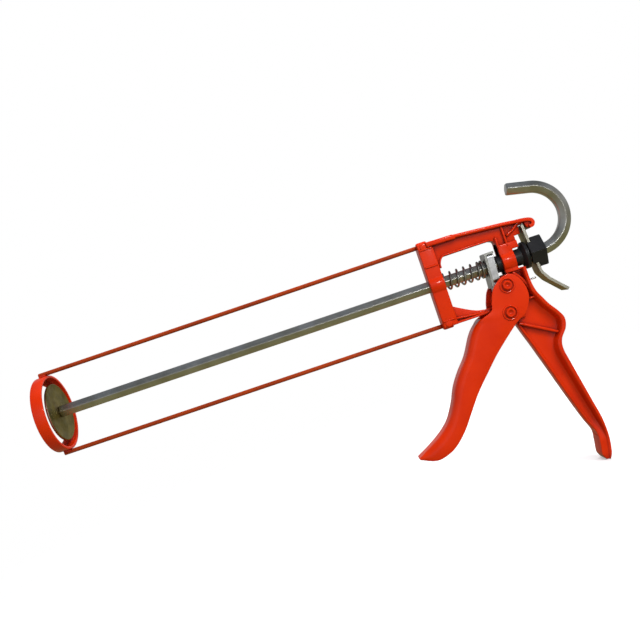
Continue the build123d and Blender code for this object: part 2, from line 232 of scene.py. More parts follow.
def lathe(profile: Outline, axis_point: Vector, axis: Vector, steps: int = 64, rounding: float = 0.0,
          closed: bool = False) -> Mesh:
    """A round piece spun from a profile.

    Args:
        profile: points as (distance along the axis, radius).
        axis_point: where distance 0 is, in metres.
        axis: the axis's direction.
        steps: faces round the piece.
        rounding: the width of its edges' rounding.
        closed: whether the profile's last point joins its first, as for a ring.

    Returns:
        A closed mesh.
    """
    mesh = bmesh.new()
    side = axis.orthogonal().normalized()
    points = [axis_point + axis * (along * MM) + side * (radius * MM) for along, radius in profile]
    verts = [mesh.verts.new(point) for point in points]
    pairs = list(zip(verts, verts[1:]))
    if closed:
        pairs.append((verts[-1], verts[0]))
    edges = [mesh.edges.new(pair) for pair in pairs]
    bmesh.ops.spin(mesh, geom=verts + edges, cent=axis_point, axis=axis, angle=2 * math.pi, steps=steps,
                   use_merge=True, use_normal_flip=False, use_duplicate=False)
    bmesh.ops.remove_doubles(mesh, verts=mesh.verts, dist=SAME_PLACE)
    bmesh.ops.recalc_face_normals(mesh, faces=mesh.faces)
    if rounding:
        soften_edges(mesh, rounding)
    return mesh


def turned(x: float, z: float, axis: Vector, span: Point, radii: Point, rounding: float, steps: int) -> Mesh:
    """A round bar or tube.

    Args:
        x: a point on its axis, along X.
        z: that point's height.
        axis: its axis's direction.
        span: its two ends, from that point along the axis.
        radii: its bore's radius, 0 for none, and its outer radius.
        rounding: the width of its edges' rounding.
        steps: faces round it.

    Returns:
        A closed mesh.
    """
    start, end = span
    bore, radius = radii
    profile = [(start, bore), (start, radius), (end, radius), (end, bore)]
    return lathe(profile, across(x, z), axis, steps, rounding, closed=bore > 0)


def bridge(mesh: Mesh, rows: list[list[Vector]], closed: bool) -> None:
    """Joins a row of sections by faces.

    Args:
        mesh: the mesh that they are added to.
        rows: each section's points in metres, the same number in each.
        closed: whether the sections are rings, which are capped at both ends, or open chains.
    """
    rings = [[mesh.verts.new(point) for point in row] for row in rows]
    spans = [list(zip(ring, ring[1:] + ring[:1] if closed else ring[1:])) for ring in rings]
    for span in spans:
        for pair in span:
            mesh.edges.new(pair)
    for near, far in zip(spans, spans[1:]):
        bmesh.ops.bridge_loops(mesh, edges=[mesh.edges.get(pair) for pair in near + far])
    if closed:
        for ring in (rings[0], rings[-1]):
            mesh.faces.new(ring)


def sweep(section: list[Vector], path: list[Vector], across_axis: Vector) -> Mesh:
    """A bar of constant section along a path, with capped ends.

    Args:
        section: the section's corners, x along across_axis and y along the path's own normal, in metres.
        path: the middle line's points in metres.
        across_axis: a direction that stays square to the whole path, or nearly so.

    Returns:
        A closed mesh.
    """
    mesh = bmesh.new()
    rows: list[list[Vector]] = []
    for before, point, after in zip([path[0], *path], path, [*path[1:], path[-1]]):
        along = (after - before).normalized()
        wide = (across_axis - along * across_axis.dot(along)).normalized()
        high = wide.cross(along)
        rows.append([point + wide * corner.x + high * corner.y for corner in section])
    bridge(mesh, rows, closed=True)
    bmesh.ops.recalc_face_normals(mesh, faces=mesh.faces)
    return mesh


def round_section(radius: float, sides: int) -> list[Vector]:
    """The corners of a round wire's section, in metres."""
    turn = 2 * math.pi / sides
    return [Vector((radius * MM * math.cos(turn * i), radius * MM * math.sin(turn * i))) for i in range(sides)]


def hexagon_section(across_flats: float, corner_rounding: float) -> list[Vector]:
    """A hexagon's section, its corners to the sides and flats above and below.

    Args:
        across_flats: the distance between two opposite flats.
        corner_rounding: the radius of its corners.

    Returns:
        The section's points in metres.
    """
    points: list[Vector] = []
    reach = across_flats / math.sqrt(3) - corner_rounding / math.cos(math.radians(30))
    for corner in range(6):
        middle = math.radians(60 * corner)
        for turn in (-30, -10, 10, 30):
            angle = middle + math.radians(turn)
            x = reach * math.cos(middle) + corner_rounding * math.cos(angle)
            y = reach * math.sin(middle) + corner_rounding * math.sin(angle)
            points.append(Vector((x * MM, y * MM)))
    return points


# ---- finishes ----

@dataclass
class Patterns:
    """Adds patterns to one material's node tree, on the object's own coordinates.

    Attributes:
        tree: the material's node tree.
        place: the coordinate socket.
    """

    tree: bpy.types.NodeTree
    place: Socket

    def noise(self, scale: float, stretch: Triple = (1, 1, 1), detail: float = 4.0) -> Socket:
        """Adds a noise pattern.

        Args:
            scale: how many cells the pattern has in a metre.
            stretch: a factor for each axis, small along the direction that the pattern runs in.
            detail: how many finer layers it has.

        Returns:
            The noise's value, 0 to 1.
        """
        mapping = self.tree.nodes.new("ShaderNodeMapping")
        mapping.inputs["Scale"].default_value = stretch
        pattern = self.tree.nodes.new("ShaderNodeTexNoise")
        pattern.inputs["Scale"].default_value = scale
        pattern.inputs["Detail"].default_value = detail
        self.tree.links.new(self.place, mapping.inputs["Vector"])
        self.tree.links.new(mapping.outputs["Vector"], pattern.inputs["Vector"])
        return pattern.outputs["Fac"]

    def ramp(self, value: Socket, source: Point, result: Point = (0.0, 1.0)) -> Socket:
        """Stretches a value from one range to another, held at its ends.

        Args:
            value: the value to stretch.
            source: the two values that become the ends of the result.
            result: the ends of the result.

        Returns:
            The stretched value.
        """
        node = self.tree.nodes.new("ShaderNodeMapRange")
        for key, number in zip(("From Min", "From Max", "To Min", "To Max"), (*source, *result)):
            node.inputs[key].default_value = number
        self.tree.links.new(value, node.inputs["Value"])
        return node.outputs["Result"]

    def blend(self, amount: Socket, first: Socket | Triple,
              second: Triple) -> Socket:
        """Mixes two colours by an amount.

        Args:
            amount: 0 for the first colour, 1 for the second.
            first: the first colour, or a socket that gives it.
            second: the second colour.

        Returns:
            The mixed colour.
        """
        node = self.tree.nodes.new("ShaderNodeMix")
        node.data_type = "RGBA"
        self.tree.links.new(amount, node.inputs["Factor"])
        if isinstance(first, tuple):
            node.inputs["A"].default_value = (*first, 1)
        else:
            self.tree.links.new(first, node.inputs["A"])
        node.inputs["B"].default_value = (*second, 1)
        return node.outputs["Result"]


@dataclass(frozen=True)
class Finish:
    """What every finish has in common.

    Attributes:
        slot: the material slot that it belongs to, which names the material.
        colour: its base colour, linear RGB.
        second: the colour that it drifts towards in patches.
        roughness: its middle roughness.
        metallic: 1 for bare metal, 0 for paint and plastic.
        specular: how strongly paint and plastic reflect.
        coat: the weight of a clear gloss layer.
        coat_roughness: that layer's roughness.
        edge_rounding: how far edges catch the light, in millimetres.
        patch_scale: how many patches of the second colour there are in a metre.
        patch_edges: the noise values between which the colour changes.
        smudge_scale: how many smudges there are in a metre.
        smudge_edges: the noise values between which the roughness changes.
        smudge_range: the roughness's lowest and highest values, as factors.
        grain_scale: how many cells the surface's grain has in a metre.
        grain_stretch: the grain's factor for each axis.
        grain_detail: how many finer layers the grain has.
        grain_strength: how strongly the grain shows.
        grain_depth: its depth in millimetres.
    """

    slot: Slot
    colour: Triple
    second: Triple
    roughness: float
    metallic: float = 0.0
    specular: float = 0.35
    coat: float = 0.0
    coat_roughness: float = 0.14
    edge_rounding: float = 0.35
    patch_scale: float = 90
    patch_edges: Point = (0.35, 0.68)
    smudge_scale: float = 260
    smudge_edges: Point = (0.3, 0.7)
    smudge_range: Point = (0.8, 1.25)
    grain_scale: float = 900
    grain_stretch: Triple = (1, 1, 1)
    grain_detail: float = 4.0
    grain_strength: float = 0.05
    grain_depth: float = 0.2

    def material(self) -> Material:
        """Builds the finish's node tree.

        Returns:
            The material.
        """
        made = bpy.data.materials.new(self.slot.value)
        made.use_nodes = True
        tree = made.node_tree
        shader = tree.nodes["Principled BSDF"]
        shader.inputs["Metallic"].default_value = self.metallic
        shader.inputs["Coat Weight"].default_value = self.coat
        shader.inputs["Coat Roughness"].default_value = self.coat_roughness
        shader.inputs["Specular IOR Level"].default_value = self.specular
        patterns = Patterns(tree, tree.nodes.new("ShaderNodeTexCoord").outputs["Object"])
        tree.links.new(self.colour_nodes(patterns), shader.inputs["Base Color"])
        tree.links.new(self.roughness_nodes(patterns), shader.inputs["Roughness"])
        tree.links.new(self.bump_nodes(patterns), shader.inputs["Normal"])
        return made

    def colour_nodes(self, patterns: Patterns) -> Socket:
        """A colour that drifts in soft patches."""
        patches = patterns.ramp(patterns.noise(self.patch_scale), self.patch_edges)
        return patterns.blend(patches, self.colour, self.second)

    def roughness_nodes(self, patterns: Patterns) -> Socket:
        """A roughness that drifts in smudges."""
        low, high = (self.roughness * factor for factor in self.smudge_range)
        return patterns.ramp(patterns.noise(self.smudge_scale), self.smudge_edges, (low, high))

    def bump_nodes(self, patterns: Patterns) -> Socket:
        """A fine grain, and edges that catch the light.

        Args:
            patterns: the builder of the material's patterns.

        Returns:
            The surface's normal.
        """
        nodes, links = patterns.tree.nodes, patterns.tree.links
        bump = nodes.new("ShaderNodeBump")
        bump.inputs["Strength"].default_value = self.grain_strength
        bump.inputs["Distance"].default_value = self.grain_depth * MM
        grain = patterns.noise(self.grain_scale, self.grain_stretch, self.grain_detail)
        links.new(grain, bump.inputs["Height"])
        if self.edge_rounding:
            edges = nodes.new("ShaderNodeBevel")
            edges.samples = 8
            edges.inputs["Radius"].default_value = self.edge_rounding * MM
            links.new(edges.outputs["Normal"], bump.inputs["Normal"])
        return bump.outputs["Normal"]


@dataclass(frozen=True)
class GlossPaint(Finish):
    """Thick gloss paint: orange peel, and painted shade that darkens it in corners.

    Attributes:
        corner_shade_colour: the painted shade's colour in corners.
        corner_reach: how far a corner's painted shade reaches, in millimetres.
        corner_edges: the openness at which the painted shade starts and is complete.
    """

    patch_scale: float = 45
    smudge_scale: float = 160
    smudge_range: Point = (0.8, 1.3)
    grain_scale: float = 520
    grain_detail: float = 1.5
    grain_strength: float = 0.12
    # The deep red of the painted shade in corners.
    corner_shade_colour: Triple = (0.24, 0.006, 0.001)
    corner_reach: float = 8.0
    corner_edges: Point = (0.86, 0.38)

    def colour_nodes(self, patterns: Patterns) -> Socket:
        """Paint with painted shade darkening its corners, drifting slightly in tone.

        Args:
            patterns: the builder of the material's patterns.

        Returns:
            The paint's colour.
        """
        # Painted shade: an ambient occlusion mask darkens corners and recesses towards a deep red.
        corners = patterns.tree.nodes.new("ShaderNodeAmbientOcclusion")
        corners.inputs["Distance"].default_value = self.corner_reach * MM
        corners.samples = 6
        depth = patterns.ramp(corners.outputs["AO"], self.corner_edges)
        return patterns.blend(depth, super().colour_nodes(patterns), self.corner_shade_colour)


@dataclass(frozen=True)
class DrawnMetal(Finish):
    """Bare or plated metal with fine lines along the direction that it was drawn in."""

    metallic: float = 1.0
    grain_scale: float = 1400
    grain_stretch: Triple = (0.02, 1, 1)
    grain_detail: float = 1.0
    grain_strength: float = 0.02


@dataclass(frozen=True)
class MottledZinc(Finish):
    """Yellow passivated zinc: gold and olive clouds with a faint iridescent tint, and a painted highlight on
    faces turned along ±Y.

    Attributes:
        tint: the rosy tint.
        tint_scale: how many tinted patches there are in a metre.
        tint_stretch: their factor for each axis.
        tint_edges: the noise values between which the tint appears.
        tint_weight: its strength where it is full.
        cloud_detail: how many finer layers the clouds have.
        side_highlight_colour: the painted highlight's colour on faces turned along ±Y.
        side_highlight_edges: how far along ±Y a face must turn before the painted highlight starts and is
            complete.
    """

    metallic: float = 1.0
    patch_scale: float = 120
    patch_edges: Point = (0.38, 0.62)
    smudge_scale: float = 400
    smudge_range: Point = (0.75, 1.3)
    tint: Triple = (0.30, 0.16, 0.12)
    tint_scale: float = 70
    tint_stretch: Triple = (1, 1.3, 0.8)
    tint_edges: Point = (0.55, 0.8)
    tint_weight: float = 0.6
    cloud_detail: float = 6
    # The painted highlight's colour on faces turned along ±Y.
    side_highlight_colour: Triple = (0.62, 0.60, 0.52)
    side_highlight_edges: Point = (0.8, 0.95)

    def colour_nodes(self, patterns: Patterns) -> Socket:
        """Clouds of gold, olive and a rosy tint, and a painted highlight on faces turned along ±Y.

        Args:
            patterns: the builder of the material's patterns.

        Returns:
            The metal's colour.
        """
        nodes, links = patterns.tree.nodes, patterns.tree.links
        clouds = patterns.ramp(patterns.noise(self.patch_scale, detail=self.cloud_detail), self.patch_edges)
        rosy = patterns.noise(self.tint_scale, self.tint_stretch)
        tinted = patterns.ramp(rosy, self.tint_edges, (0.0, self.tint_weight))
        cloudy = patterns.blend(tinted, patterns.blend(clouds, self.colour, self.second), self.tint)
        # Painted highlight: faces whose normal points along ±Y, like the lit near edges, are lightened.
        facing = nodes.new("ShaderNodeSeparateXYZ")
        links.new(nodes.new("ShaderNodeNewGeometry").outputs["True Normal"], facing.inputs["Vector"])
        sideways = nodes.new("ShaderNodeMath")
        sideways.operation = "ABSOLUTE"
        links.new(facing.outputs["Y"], sideways.inputs[0])
        side_highlight = patterns.ramp(sideways.outputs["Value"], self.side_highlight_edges)
        return patterns.blend(side_highlight, cloudy, self.side_highlight_colour)


@dataclass(frozen=True)
class MouldedPlastic(Finish):
    """Moulded black plastic with a fine spark-eroded texture."""

    grain_scale: float = 2600
    grain_detail: float = 2
    grain_strength: float = 0.22


FINISHES: tuple[Finish, ...] = (
    GlossPaint(Slot.GLOSS_PAINT, (0.80, 0.034, 0.0003), (0.70, 0.025, 0.0003), 0.34, specular=0.09, coat=0.4,
               edge_rounding=0.5),
    GlossPaint(Slot.WIRE_PAINT, (0.44, 0.050, 0.007), (0.32, 0.036, 0.007), 0.45, specular=0.15),
    DrawnMetal(Slot.ZINC_STEEL, (0.56, 0.56, 0.54), (0.44, 0.43, 0.38), 0.36, edge_rounding=0.0,
               grain_strength=0.004),
    MottledZinc(Slot.OLIVE_ZINC, (0.36, 0.29, 0.085), (0.24, 0.20, 0.06), 0.45),
    DrawnMetal(Slot.BRIGHT_ZINC, (0.80, 0.81, 0.84), (0.70, 0.71, 0.74), 0.34, edge_rounding=0.25,
               grain_stretch=(1, 1, 0.04)),
    Finish(Slot.SPRING_STEEL, (0.50, 0.50, 0.48), (0.36, 0.36, 0.34), 0.38, metallic=1.0, edge_rounding=0.0),
    MouldedPlastic(Slot.BLACK_PLASTIC, (0.012, 0.012, 0.014), (0.018, 0.018, 0.020), 0.42),
)


# ---- sub-assemblies, sizes in millimetres, outlines as (x, z) ----

@dataclass
class SubAssembly:
    """A part of the gun that builds its own pieces and dresses them.

    Attributes:
        finishes: the material of each slot.
    """

    finishes: Finishes

    def add_piece(self, name: str, mesh: Mesh, body: Body, slot: Slot, *stands_for: str) -> bpy.types.Object:
        """Turns a mesh into a finished piece that rides on a body.

        Args:
            name: the piece's name.
            mesh: its geometry, in metres, in place; it is freed here.
            body: the body that it moves with.
            slot: the material slot that its finish belongs to.
            stands_for: the CAD nodes that it replaces.

        Returns:
            The new object.
        """
        bmesh.ops.recalc_face_normals(mesh, faces=mesh.faces)
        data = bpy.data.meshes.new(name)
        mesh.to_mesh(data)
        mesh.free()
        data.materials.append(self.finishes[slot])
        data.shade_smooth()
        data.set_sharp_from_angle(angle=SHADING_ANGLE)
        piece = bpy.data.objects.new(name, data)
        bpy.context.scene.collection.objects.link(piece)
        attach(piece, body.value)
        if stands_for:
            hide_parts(*stands_for)
        LOG.info("%s: %d faces on %s", name, len(data.polygons), body.value)
        return piece


@dataclass(frozen=True)
class Rib:
    """A raised rib across the casting's webs.

    Attributes:
        points: its middle line.
        width: its width.
        curved: whether it runs smoothly through its points.
    """

    points: Outline
    width: float
    curved: bool = False

    def outline(self) -> list[Point]:
        """The rib's closed outline."""
        return band(smooth_line(self.points) if self.curved else self.points, self.width)


RIBS = (
    Rib(((49.5, -42.9), (61, -49.6), (73.5, -57)), 1.8),
    Rib(((56.5, -8.4), (61.8, -16), (66.2, -28)), 2.2, curved=True),
    Rib(((61.5, -28.8), (68, -28.8)), 1.6),
    Rib(((60.5, 16.6), (66, 19.4), (70.2, 22), (78, 22.4)), 1.6, curved=True),
    Rib(((59, 9), (59, 25.5)), 1.6),
    Rib(((52.8, 9), (52.8, 18)), 1.6),
    Rib(((9, -26), (30, -28.4)), 1.4),
)


@dataclass
class Casting(SubAssembly):
    """The die-cast frame with its handle, cradle sockets and guide bosses."""

    bar_length: float = 10.5
    bar_height: float = 30.0
    bar_half_width: float = 6.6
    bar_rounding: float = 1.0
    edge_rounding: float = 0.8
    rib_rounding: float = 0.7
    web_rounding: float = 0.6
    fine_rounding: float = 0.5
    ridge_span: Point = (0.8, 9.7)
    ridge_heights: tuple[float, ...] = (-25.6, 13.2, 25.6)
    ridge_half_height: float = 0.6
    ridge_lift: float = 0.7
    web: float = 4.2
    recess: float = 2.9
    rim: float = 7.8
    rim_thickness: float = 2.4
    rib: float = 6.2
    full_section: float = 15.0
    front_bevel: float = 0.7
    border_end: float = 1.7
    recess_start: float = 2.6
    recess_middle: float = 0.6
    rim_sweep: float = 5.6
    sweep_steps: int = 8
    rim_bevel: Point = (0.5, 0.7)
    solid_from: float = -122.0
    solid_over: float = 14.0
    solid_share: float = 0.8
    solid_drop: float = 0.9
    guides: tuple[Rung, ...] = ((0.05, 5.5, 5.0, 7.4), (0.1, 10.4, 7.1, 8.2), (52.1, 61.4, 5.9, 8.2))
    pivot: Point = (45.5, -33.9)
    pivot_radius: float = 6.8
    pivot_drop: float = 0.1
    lug: Triple = (77.9, 20.2, 3.4)
    lug_rounding: float = 0.9
    socket: Rung = (0.05, 8, 3.0, 28.5)
    socket_rounding: float = 1.4
    tail_height: float = 27.6
    tail_start: float = 1.2
    tail: Outline = ((0, 0), (0, 2.5), (14, 2.4), (20, 1.6), (23.6, 0))
    stud: Point = (4.2, 2.6)
    stud_lift: float = 0.5
    top_edge: Outline = ((8, 29.7), (25, 29.2), (60, 26.2), (77, 24))
    top_web: Outline = (
        (9, 10.5), (10.8, 11.5), (12.2, 14.8), (15.4, 17), (48.5, 17), (51, 16), (52, 13.5), (52, -9.5),
        (66, -9.5), (66, -7), (61.5, -7), (61.5, 7), (66, 7), (66, 15), (70.4, 15.2), (70.4, 20.6),
        (74.4, 21.2), (77, 23.6),
    )
    arm_end: Outline = ((70, 25.05), (76.6, 24.1), (80.2, 22.6), (81.4, 19.8), (80, 17.2), (77.3, 16.5))
    arm_end_width: float = 2.3
    arm_end_lift: float = 0.02
    window_border: Outline = ((11.4, 10), (11.8, 13.6), (15.2, 17.6), (24, 17.7), (48.8, 17.6))
    border_width: float = 1.3
    border_lift: float = 0.9
    pad: Outline = ((6, 29.9), (24.6, 29.5), (27.4, 28.6), (26.8, 26.0), (6, 26.6))
    pad_lift: float = 0.3
    lower_web: Outline = ((9, -16), (12, -18.4), (25, -25.3), (36, -27.2), (47, -26.6), (56, -20))
    lower_foot: Outline = ((56, -40), (48, -41.2), (41, -38), (35, -29.9), (9, -29.9))
    lower_edge: Outline = ((9, -29.9), (34, -29.9))
    lower_edge_width: float = 1.6
    guide_block: Outline = ((52, -8), (66, -8), (66, -7), (61.5, -7), (61.5, 7), (66, 7), (66, 12), (52, 12))
    handle: tuple[Rung, ...] = (
        (54.6, -7.5, 66, -7.5), (54.6, -17, 66.1, -17), (52.5, -24, 67.4, -25), (47.5, -30, 70.2, -31),
        (46, -36.5, 73, -36.5), (48.3, -43, 77.4, -43), (50.2, -49, 80, -49), (52.3, -55.5, 78.6, -55.5),
        (54.4, -62, 73.8, -62), (56.8, -70, 72.5, -69), (59.8, -80, 74.4, -80), (64.2, -95, 77.3, -95),
        (68.5, -109, 80, -109), (72.4, -121, 82.3, -121), (76.2, -130.5, 83, -130.5), (76, -138, 82.7, -138.5),
        (75, -146, 81.2, -146.5), (76.6, -150, 79.2, -150.4),
    )

    def handle_ring(self, front: Vector, rear: Vector) -> list[Vector]:
        """The handle's section on one rung: a recessed web that sweeps up into a proud rear rim.

        Args:
            front: the rung's front end, as (x, z).
            rear: its rear end.

        Returns:
            The section's points in metres, in order round it.
        """
        width = (rear - front).length
        along = (rear - front) / width
        scale = min(1.0, width / self.full_section)
        solid = min(1.0, max(0.0, (self.solid_from - front.y) / self.solid_over))
        sweep_start, sweep_end = width - self.rim_sweep * scale, width - self.rim_thickness * scale
        stations = [(0.0, self.web - self.front_bevel), (self.front_bevel * scale, self.web),
                    (self.border_end * scale, self.web), (self.recess_start * scale, self.recess),
                    (sweep_start * self.recess_middle, self.recess)]
        for step in range(self.sweep_steps + 1):
            part = step / self.sweep_steps
            rise = self.recess + (self.rim - self.recess) * (3 * part**2 - 2 * part**3)
            stations.append((sweep_start + (sweep_end - sweep_start) * part, rise))
        stations += [(width - self.rim_bevel[0], self.rim), (width, self.rim - self.rim_bevel[1])]
        full = self.rim - self.solid_drop
        filled = solid * self.solid_share
        points = [(front + along * reach, half + (full - half) * filled) for reach, half in stations]
        left = [across(p.x, p.y, half) for p, half in points]
        return left + [across(p.x, p.y, -half) for p, half in points[::-1]]

    def handle_mesh(self) -> Mesh:
        """The rear bar's foot and the handle, lofted rung by rung.

        Returns:
            A closed mesh.
        """
        mesh = bmesh.new()
        rows = [self.handle_ring(front, rear) for front, rear in smooth_rungs(self.handle, 5)]
        bridge(mesh, rows, closed=True)
        soften_edges(mesh, self.fine_rounding, angle=50)
        return mesh

    def plates(self) -> list[tuple[Outline, float, float]]:
        """The flat parts of the casting.

        Returns:
            Each part's outline, half width and edge rounding.
        """
        bar = rectangle(0, self.bar_length, -self.bar_height, self.bar_height)
        ridges = [rectangle(*self.ridge_span, height - self.ridge_half_height, height + self.ridge_half_height)
                  for height in self.ridge_heights]
        upper_web = [*self.top_web, *self.top_edge[::-1]]
        lower_web = [*smooth_line(self.lower_web, 4), *self.lower_foot]
        arm_end = band(smooth_line(self.arm_end, 5), self.arm_end_width, 1.0)
        border = band(smooth_line(self.window_border, 4), self.border_width)
        return [
            (bar, self.bar_half_width, self.bar_rounding),
            (upper_web, self.web, self.web_rounding),
            (arm_end, self.rim + self.arm_end_lift, self.edge_rounding),
            (border, self.web + self.border_lift, self.fine_rounding),
            (self.pad, self.rim + self.pad_lift, self.edge_rounding),
            *((ridge, self.bar_half_width + self.ridge_lift, self.fine_rounding) for ridge in ridges),
            (lower_web, self.web, self.web_rounding),
            (band(self.top_edge, self.rim_thickness, 1.0), self.rim, self.edge_rounding),
            (band(self.lower_edge, self.lower_edge_width, -1.0), self.rib, self.fine_rounding),
            *((rib.outline(), self.rib, self.rib_rounding) for rib in RIBS),
            (self.guide_block, self.rib, self.edge_rounding),
        ]

    def add_bosses(self, mesh: Mesh) -> None:
        """Adds the guide bosses, wire sockets, pivot boss and hooked lug.

        Args:
            mesh: the casting's mesh, which grows.
        """
        start, end, radius, height = self.socket
        stud_x, stud_radius = self.stud
        socket_span = (0, end - start)
        reach = self.bar_half_width + self.stud_lift
        ends = (-reach, reach)
        for side in (1, -1):
            join(mesh, turned(start, side * height, ALONG_X, socket_span, (0, radius), self.socket_rounding, 40))
            tail_z = side * self.tail_height
            join(mesh, lathe(self.tail, across(self.tail_start, tail_z), ALONG_X, 32))
            join(mesh, turned(stud_x, tail_z, ALONG_Y, ends, (0, stud_radius), self.edge_rounding, 48))
        for start, end, bore, radius in self.guides:
            join(mesh, turned(start, 0, ALONG_X, (0, end - start), (bore, radius), self.web_rounding, 72))
        reach = self.rim - self.pivot_drop
        ends = (-reach, reach)
        join(mesh, turned(*self.pivot, ALONG_Y, ends, (0, self.pivot_radius), self.web_rounding, 48))
        lug_x, lug_z, lug_radius = self.lug
        ends = (-self.rib, self.rib)
        join(mesh, turned(lug_x, lug_z, ALONG_Y, ends, (0, lug_radius), self.lug_rounding, 48))

    def build(self) -> None:
        """Builds the casting as one piece."""
        mesh = bmesh.new()
        for outline, half_width, rounding in self.plates():
            join(mesh, slab(outline, half_width, rounding))
        self.add_bosses(mesh)
        join(mesh, self.handle_mesh())
        self.add_piece("cast_frame_and_handle", mesh, Body.FRAME, Slot.GLOSS_PAINT, "frame_casting")


@dataclass
class Cradle(SubAssembly):
    """The nose ring and the two wires that carry the cartridge."""

    ring: Point = (-280.0, -272.0)
    radius: float = 27.0
    wall: float = 2.0
    lip_radius: float = 21.5
    lip: float = 1.8
    wire_radius: float = 1.5
    wire_ends: Point = (-278.4, 17.9)

    def build(self) -> None:
        """Builds the ring and the wires."""
        start, end = self.ring
        width = end - start
        inner = self.radius - self.wall
        profile = [(0, self.lip_radius), (0, self.radius), (width, self.radius), (width, inner),
                   (self.lip, inner), (self.lip, self.lip_radius)]
        ring = lathe(profile, across(start, 0), ALONG_X, 128, 0.45, closed=True)
        self.add_piece("nose_ring_band", ring, Body.FRAME, Slot.GLOSS_PAINT, "nose_ring")
        wire_start, wire_end = self.wire_ends
        wire_span = (0, wire_end - wire_start)
        for name, side in (("top", 1), ("bottom", -1)):
            height = side * (self.radius + self.wire_radius)
            wire = turned(wire_start, height, ALONG_X, wire_span, (0, self.wire_radius), 0.3, 24)
            self.add_piece(f"wire_{name}", wire, Body.FRAME, Slot.WIRE_PAINT, f"cradle_wire_{name}")


@dataclass
class Rod(SubAssembly):
    """The hooked push rod with its piston."""

    across_flats: float = 8.0
    corner_rounding: float = 1.1
    end_rounding: float = 1.1
    shoulder: float = -271.5
    hook_start: float = 82.6
    hook_radius: float = 22.2
    hook_turn: float = 169.0
    hook_steps: int = 56
    hook_end: float = 15.8
    disc_radius: float = 20.5
    disc_thickness: float = 2.0
    hub_radius: float = 9.5
    bore: float = 2.95
    washer_radius: float = 6.5
    washer_thickness: float = 1.2
    peened_start: float = 2.6
    peened: Outline = (
        (0, 0), (0.1, 2.4), (0.5, 3.6), (1.0, 4.1), (1.4, 4.2), (1.4, 2.9), (4.7, 2.9), (4.7, 0),
    )

    def path(self) -> list[Vector]:
        """The rod's middle line, from its shoulder to the hook's end.

        Returns:
            Its points in metres.
        """
        points = [across(self.shoulder, 0), across(self.shoulder + 3, 0), across(self.hook_start - 2, 0)]
        for step in range(self.hook_steps + 1):
            turn = math.radians(self.hook_turn * step / self.hook_steps)
            points.append(across(self.hook_start + self.hook_radius * math.sin(turn),
                                 self.hook_radius * (1 - math.cos(turn))))
        along = (points[-1] - points[-2]).normalized()
        return points + [points[-1] + along * (self.hook_end * MM * part) for part in (0.5, 1.0)]

    def rod_mesh(self) -> Mesh:
        """The hexagonal rod with its hook and its peened end.

        Returns:
            Two closed shells in one mesh.
        """
        section = hexagon_section(self.across_flats, self.corner_rounding)
        mesh = sweep(section, self.path(), ALONG_Y)
        caps = [face for face in mesh.faces if len(face.verts) == len(section)]
        round_off(mesh, list({edge for face in caps for edge in face.edges}), self.end_rounding)
        start = self.shoulder - self.disc_thickness - self.peened_start
        join(mesh, lathe(self.peened, across(start, 0), ALONG_X, 48))
        return mesh

    def disc_profile(self) -> list[Point]:
        """The piston's pressed section, the same on both faces.

        Returns:
            Its points as (distance along the rod, radius).
        """
        edge = self.disc_radius
        face = [(0, self.bore), (0, self.hub_radius), (0.25, self.hub_radius + 1.5), (0.25, edge - 1.2),
                (0, edge - 0.6), (0.35, edge - 0.1)]
        middle = (self.disc_thickness / 2, edge)
        return [*face, middle, *((self.disc_thickness - along, radius) for along, radius in face[::-1])]

    def build(self) -> None:
        """Builds the rod, the piston and its washer."""
        self.add_piece("hooked_rod", self.rod_mesh(), Body.ROD, Slot.ZINC_STEEL, "push_rod")
        seat = self.shoulder - self.disc_thickness
        disc = lathe(self.disc_profile(), across(seat, 0), ALONG_X, 128, closed=True)
        self.add_piece("piston_pressing", disc, Body.ROD, Slot.OLIVE_ZINC, "piston_disc")
        depth, radius = self.washer_thickness, self.washer_radius
        flat = [(0, self.bore), (0, radius), (depth, radius), (depth, self.bore)]
        washer = lathe(flat, across(seat - depth, 0), ALONG_X, 64, 0.25, closed=True)
        self.add_piece("piston_washer_ring", washer, Body.ROD, Slot.BRIGHT_ZINC, "piston_washer")


@dataclass
class Coil(SubAssembly):
    """A round-wire compression spring with closed ends.

    Attributes:
        node: the CAD node that it replaces.
        joint: the joint that compresses it; not used.
        start: its fixed end along X.
        end: its moving end along X.
        radius: the coils' mean radius.
        wire: the wire's radius.
        turns: the number of turns.
        closed_turns: how many turns lie close at each end.
        keep: the part of its length that is left at the joint's limit; not used.
        steps_per_turn: how many pieces a turn is wound in.
        end_rate: a closed turn's rise against an open one's.
        opens_at: the part of the closed turns after which the rise grows.
        opening: how quickly it grows.
    """

    node: str
    joint: str
    start: float
    end: float
    radius: float
    wire: float
    turns: float
    closed_turns: float
    keep: float
    steps_per_turn: int = 28
    end_rate: float = 0.26
    opens_at: float = 0.6
    opening: float = 1.6

    def path(self) -> list[Vector]:
        """The wire's middle line, which rises slowly in the closed turns.

        Returns:
            Its points in metres.
        """
        steps = int(self.turns * self.steps_per_turn)
        rates: list[float] = []
        for step in range(steps):
            turn = self.turns * step / steps
            from_end = min(turn, self.turns - turn) / self.closed_turns
            opened = min(1.0, max(0.0, from_end - self.opens_at) * self.opening)
            rates.append(self.end_rate + (1 - self.end_rate) * opened)
        unit = (self.end - self.start - 2 * self.wire) / sum(rates)
        points: list[Vector] = []
        reach = self.start + self.wire
        for step in range(steps + 1):
            angle = 2 * math.pi * self.turns * step / steps
            points.append(across(reach, self.radius * math.cos(angle), self.radius * math.sin(angle)))
            reach += unit * rates[min(step, steps - 1)]
        return points

    def build(self) -> None:
        """Winds the wire and gives its piece a mesh of its own."""
        mesh = sweep(round_section(self.wire, 12), self.path(), ALONG_X)
        piece = self.add_piece(f"{self.node}_coil", mesh, Body.FRAME, Slot.SPRING_STEEL, self.node)
        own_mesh(piece)


